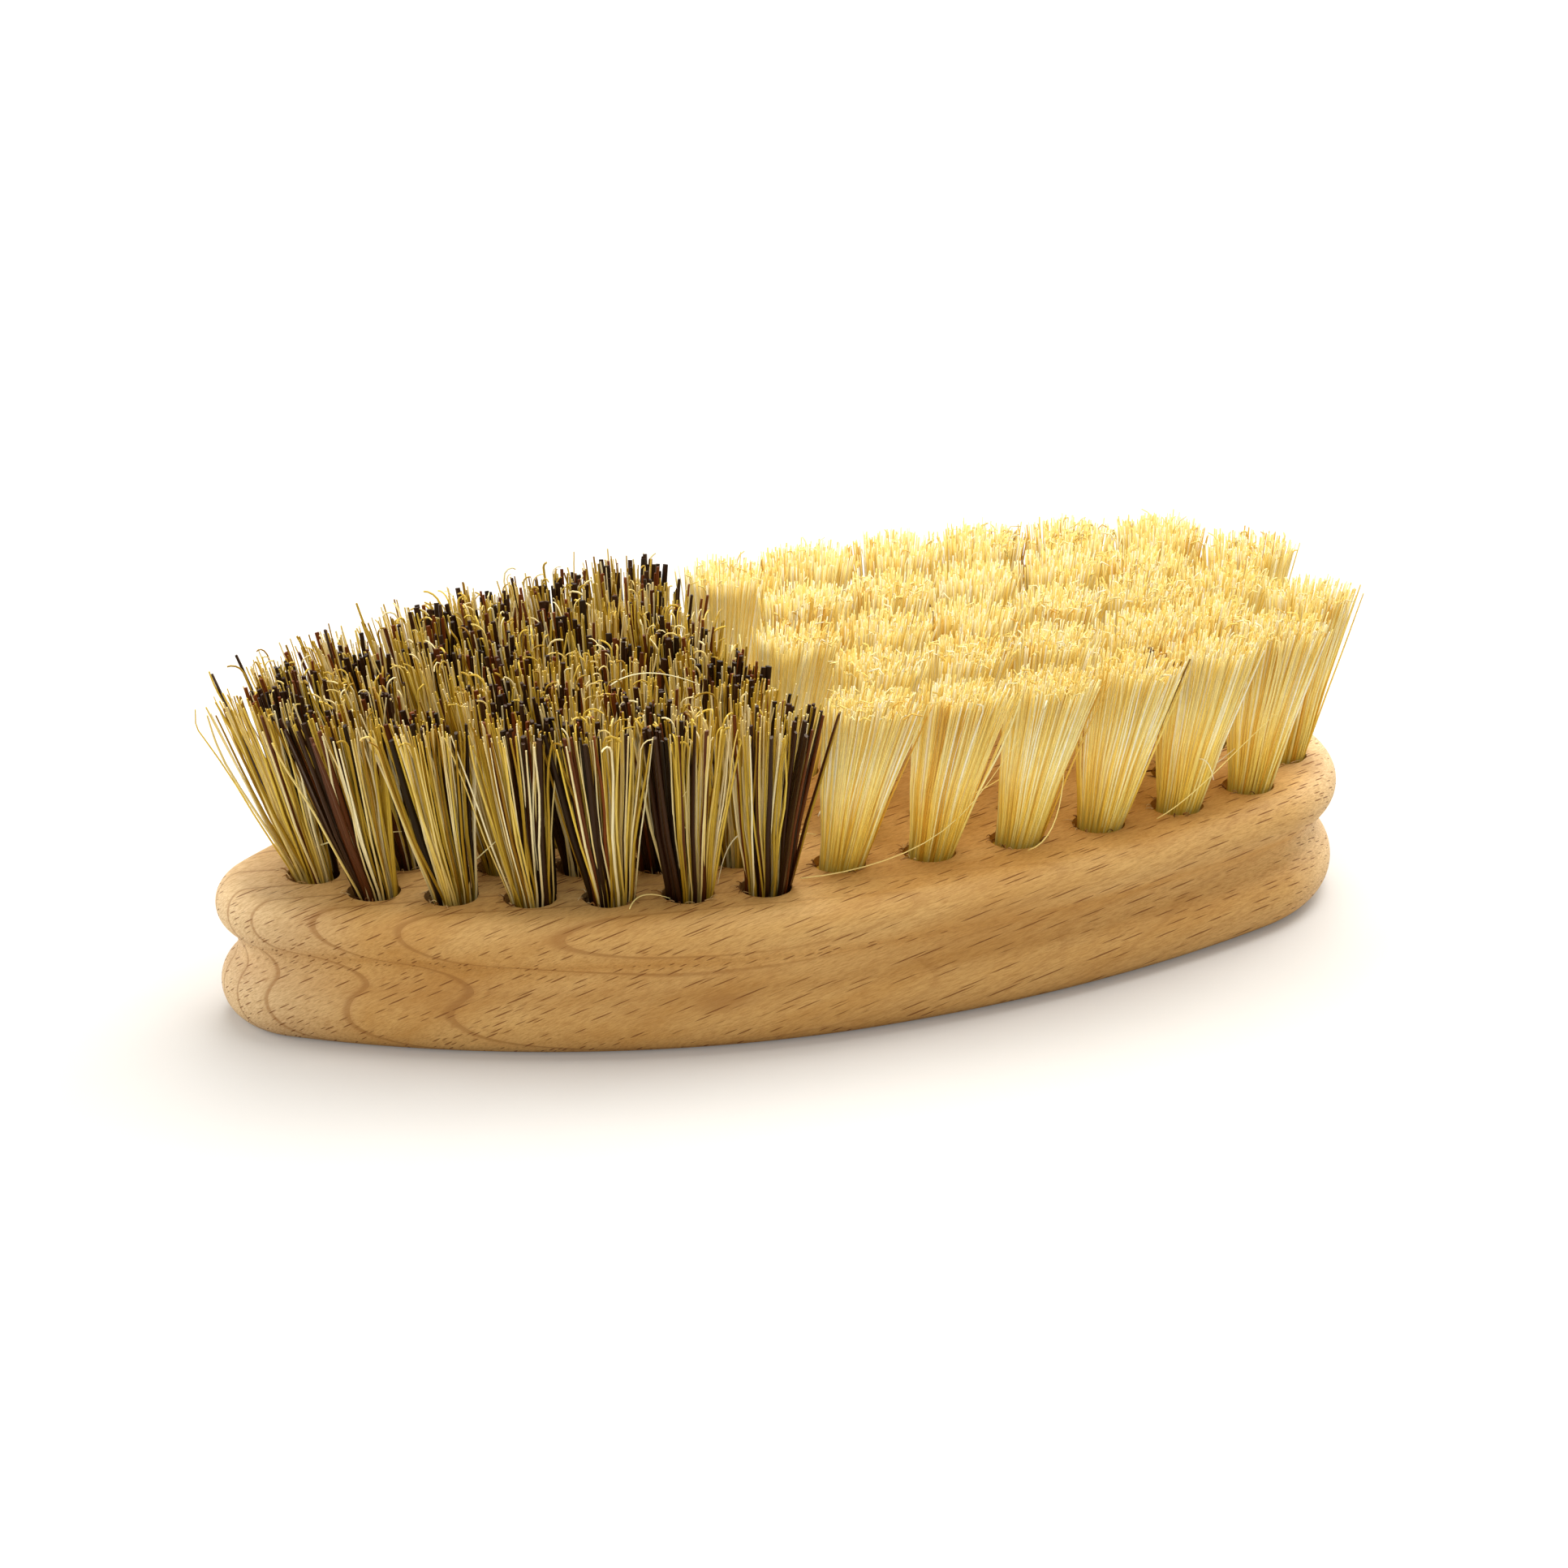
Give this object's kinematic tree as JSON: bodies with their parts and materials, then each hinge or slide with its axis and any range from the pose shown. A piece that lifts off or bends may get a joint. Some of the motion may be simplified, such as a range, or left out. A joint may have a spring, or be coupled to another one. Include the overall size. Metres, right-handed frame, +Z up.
{
  "type": "vegetable brush",
  "caption": "Handheld vegetable brush: boat-shaped wooden block with a finger groove round its edge, stiff dark fibre tufts at one end and soft pale ones at the other.",
  "frame": {"origin": "centre of the flat underside, below the middle of the block's length", "axes": "+X along the block towards the full tip and the soft tufts; +Z up, out of the bristle face, towards the tips; +Y across the block. The part is mirror-symmetric about the XZ plane, apart from single strands."},
  "size_m": [0.135, 0.061, 0.0385],
  "materials": {
    "beech": "bare beech, moulded and sanded, with short dark ray flecks",
    "anchor_wire": "flat galvanised wire",
    "stiff_fibre": "stiff plant fibres, dark brown, olive and cream, mixed",
    "soft_fibre": "fine pale yellow plant fibres"
  },
  "bodies": {
    "root": {"block": "beech", "tuft_anchors": "anchor_wire", "stiff_tuft_01": "stiff_fibre", "stiff_tuft_02": "stiff_fibre", "stiff_tuft_03": "stiff_fibre", "stiff_tuft_04": "stiff_fibre", "stiff_tuft_05": "stiff_fibre", "stiff_tuft_06": "stiff_fibre", "stiff_tuft_07": "stiff_fibre", "stiff_tuft_08": "stiff_fibre", "stiff_tuft_09": "stiff_fibre", "stiff_tuft_10": "stiff_fibre", "stiff_tuft_11": "stiff_fibre", "stiff_tuft_12": "stiff_fibre", "stiff_tuft_13": "stiff_fibre", "stiff_tuft_14": "stiff_fibre", "stiff_tuft_15": "stiff_fibre", "stiff_tuft_16": "stiff_fibre", "stiff_tuft_17": "stiff_fibre", "stiff_tuft_18": "stiff_fibre", "stiff_tuft_19": "stiff_fibre", "stiff_tuft_20": "stiff_fibre", "stiff_tuft_21": "stiff_fibre", "stiff_tuft_22": "stiff_fibre", "stiff_tuft_23": "stiff_fibre", "stiff_tuft_24": "stiff_fibre", "stiff_tuft_25": "stiff_fibre", "stiff_tuft_26": "stiff_fibre", "soft_tuft_01": "soft_fibre", "soft_tuft_02": "soft_fibre", "soft_tuft_03": "soft_fibre", "soft_tuft_04": "soft_fibre", "soft_tuft_05": "soft_fibre", "soft_tuft_06": "soft_fibre", "soft_tuft_07": "soft_fibre", "soft_tuft_08": "soft_fibre", "soft_tuft_09": "soft_fibre", "soft_tuft_10": "soft_fibre", "soft_tuft_11": "soft_fibre", "soft_tuft_12": "soft_fibre", "soft_tuft_13": "soft_fibre", "soft_tuft_14": "soft_fibre", "soft_tuft_15": "soft_fibre", "soft_tuft_16": "soft_fibre", "soft_tuft_17": "soft_fibre", "soft_tuft_18": "soft_fibre", "soft_tuft_19": "soft_fibre", "soft_tuft_20": "soft_fibre", "soft_tuft_21": "soft_fibre", "soft_tuft_22": "soft_fibre", "soft_tuft_23": "soft_fibre", "soft_tuft_24": "soft_fibre", "soft_tuft_25": "soft_fibre", "soft_tuft_26": "soft_fibre", "soft_tuft_27": "soft_fibre", "soft_tuft_28": "soft_fibre", "soft_tuft_29": "soft_fibre", "soft_tuft_30": "soft_fibre"}
  },
  "joints": []
}
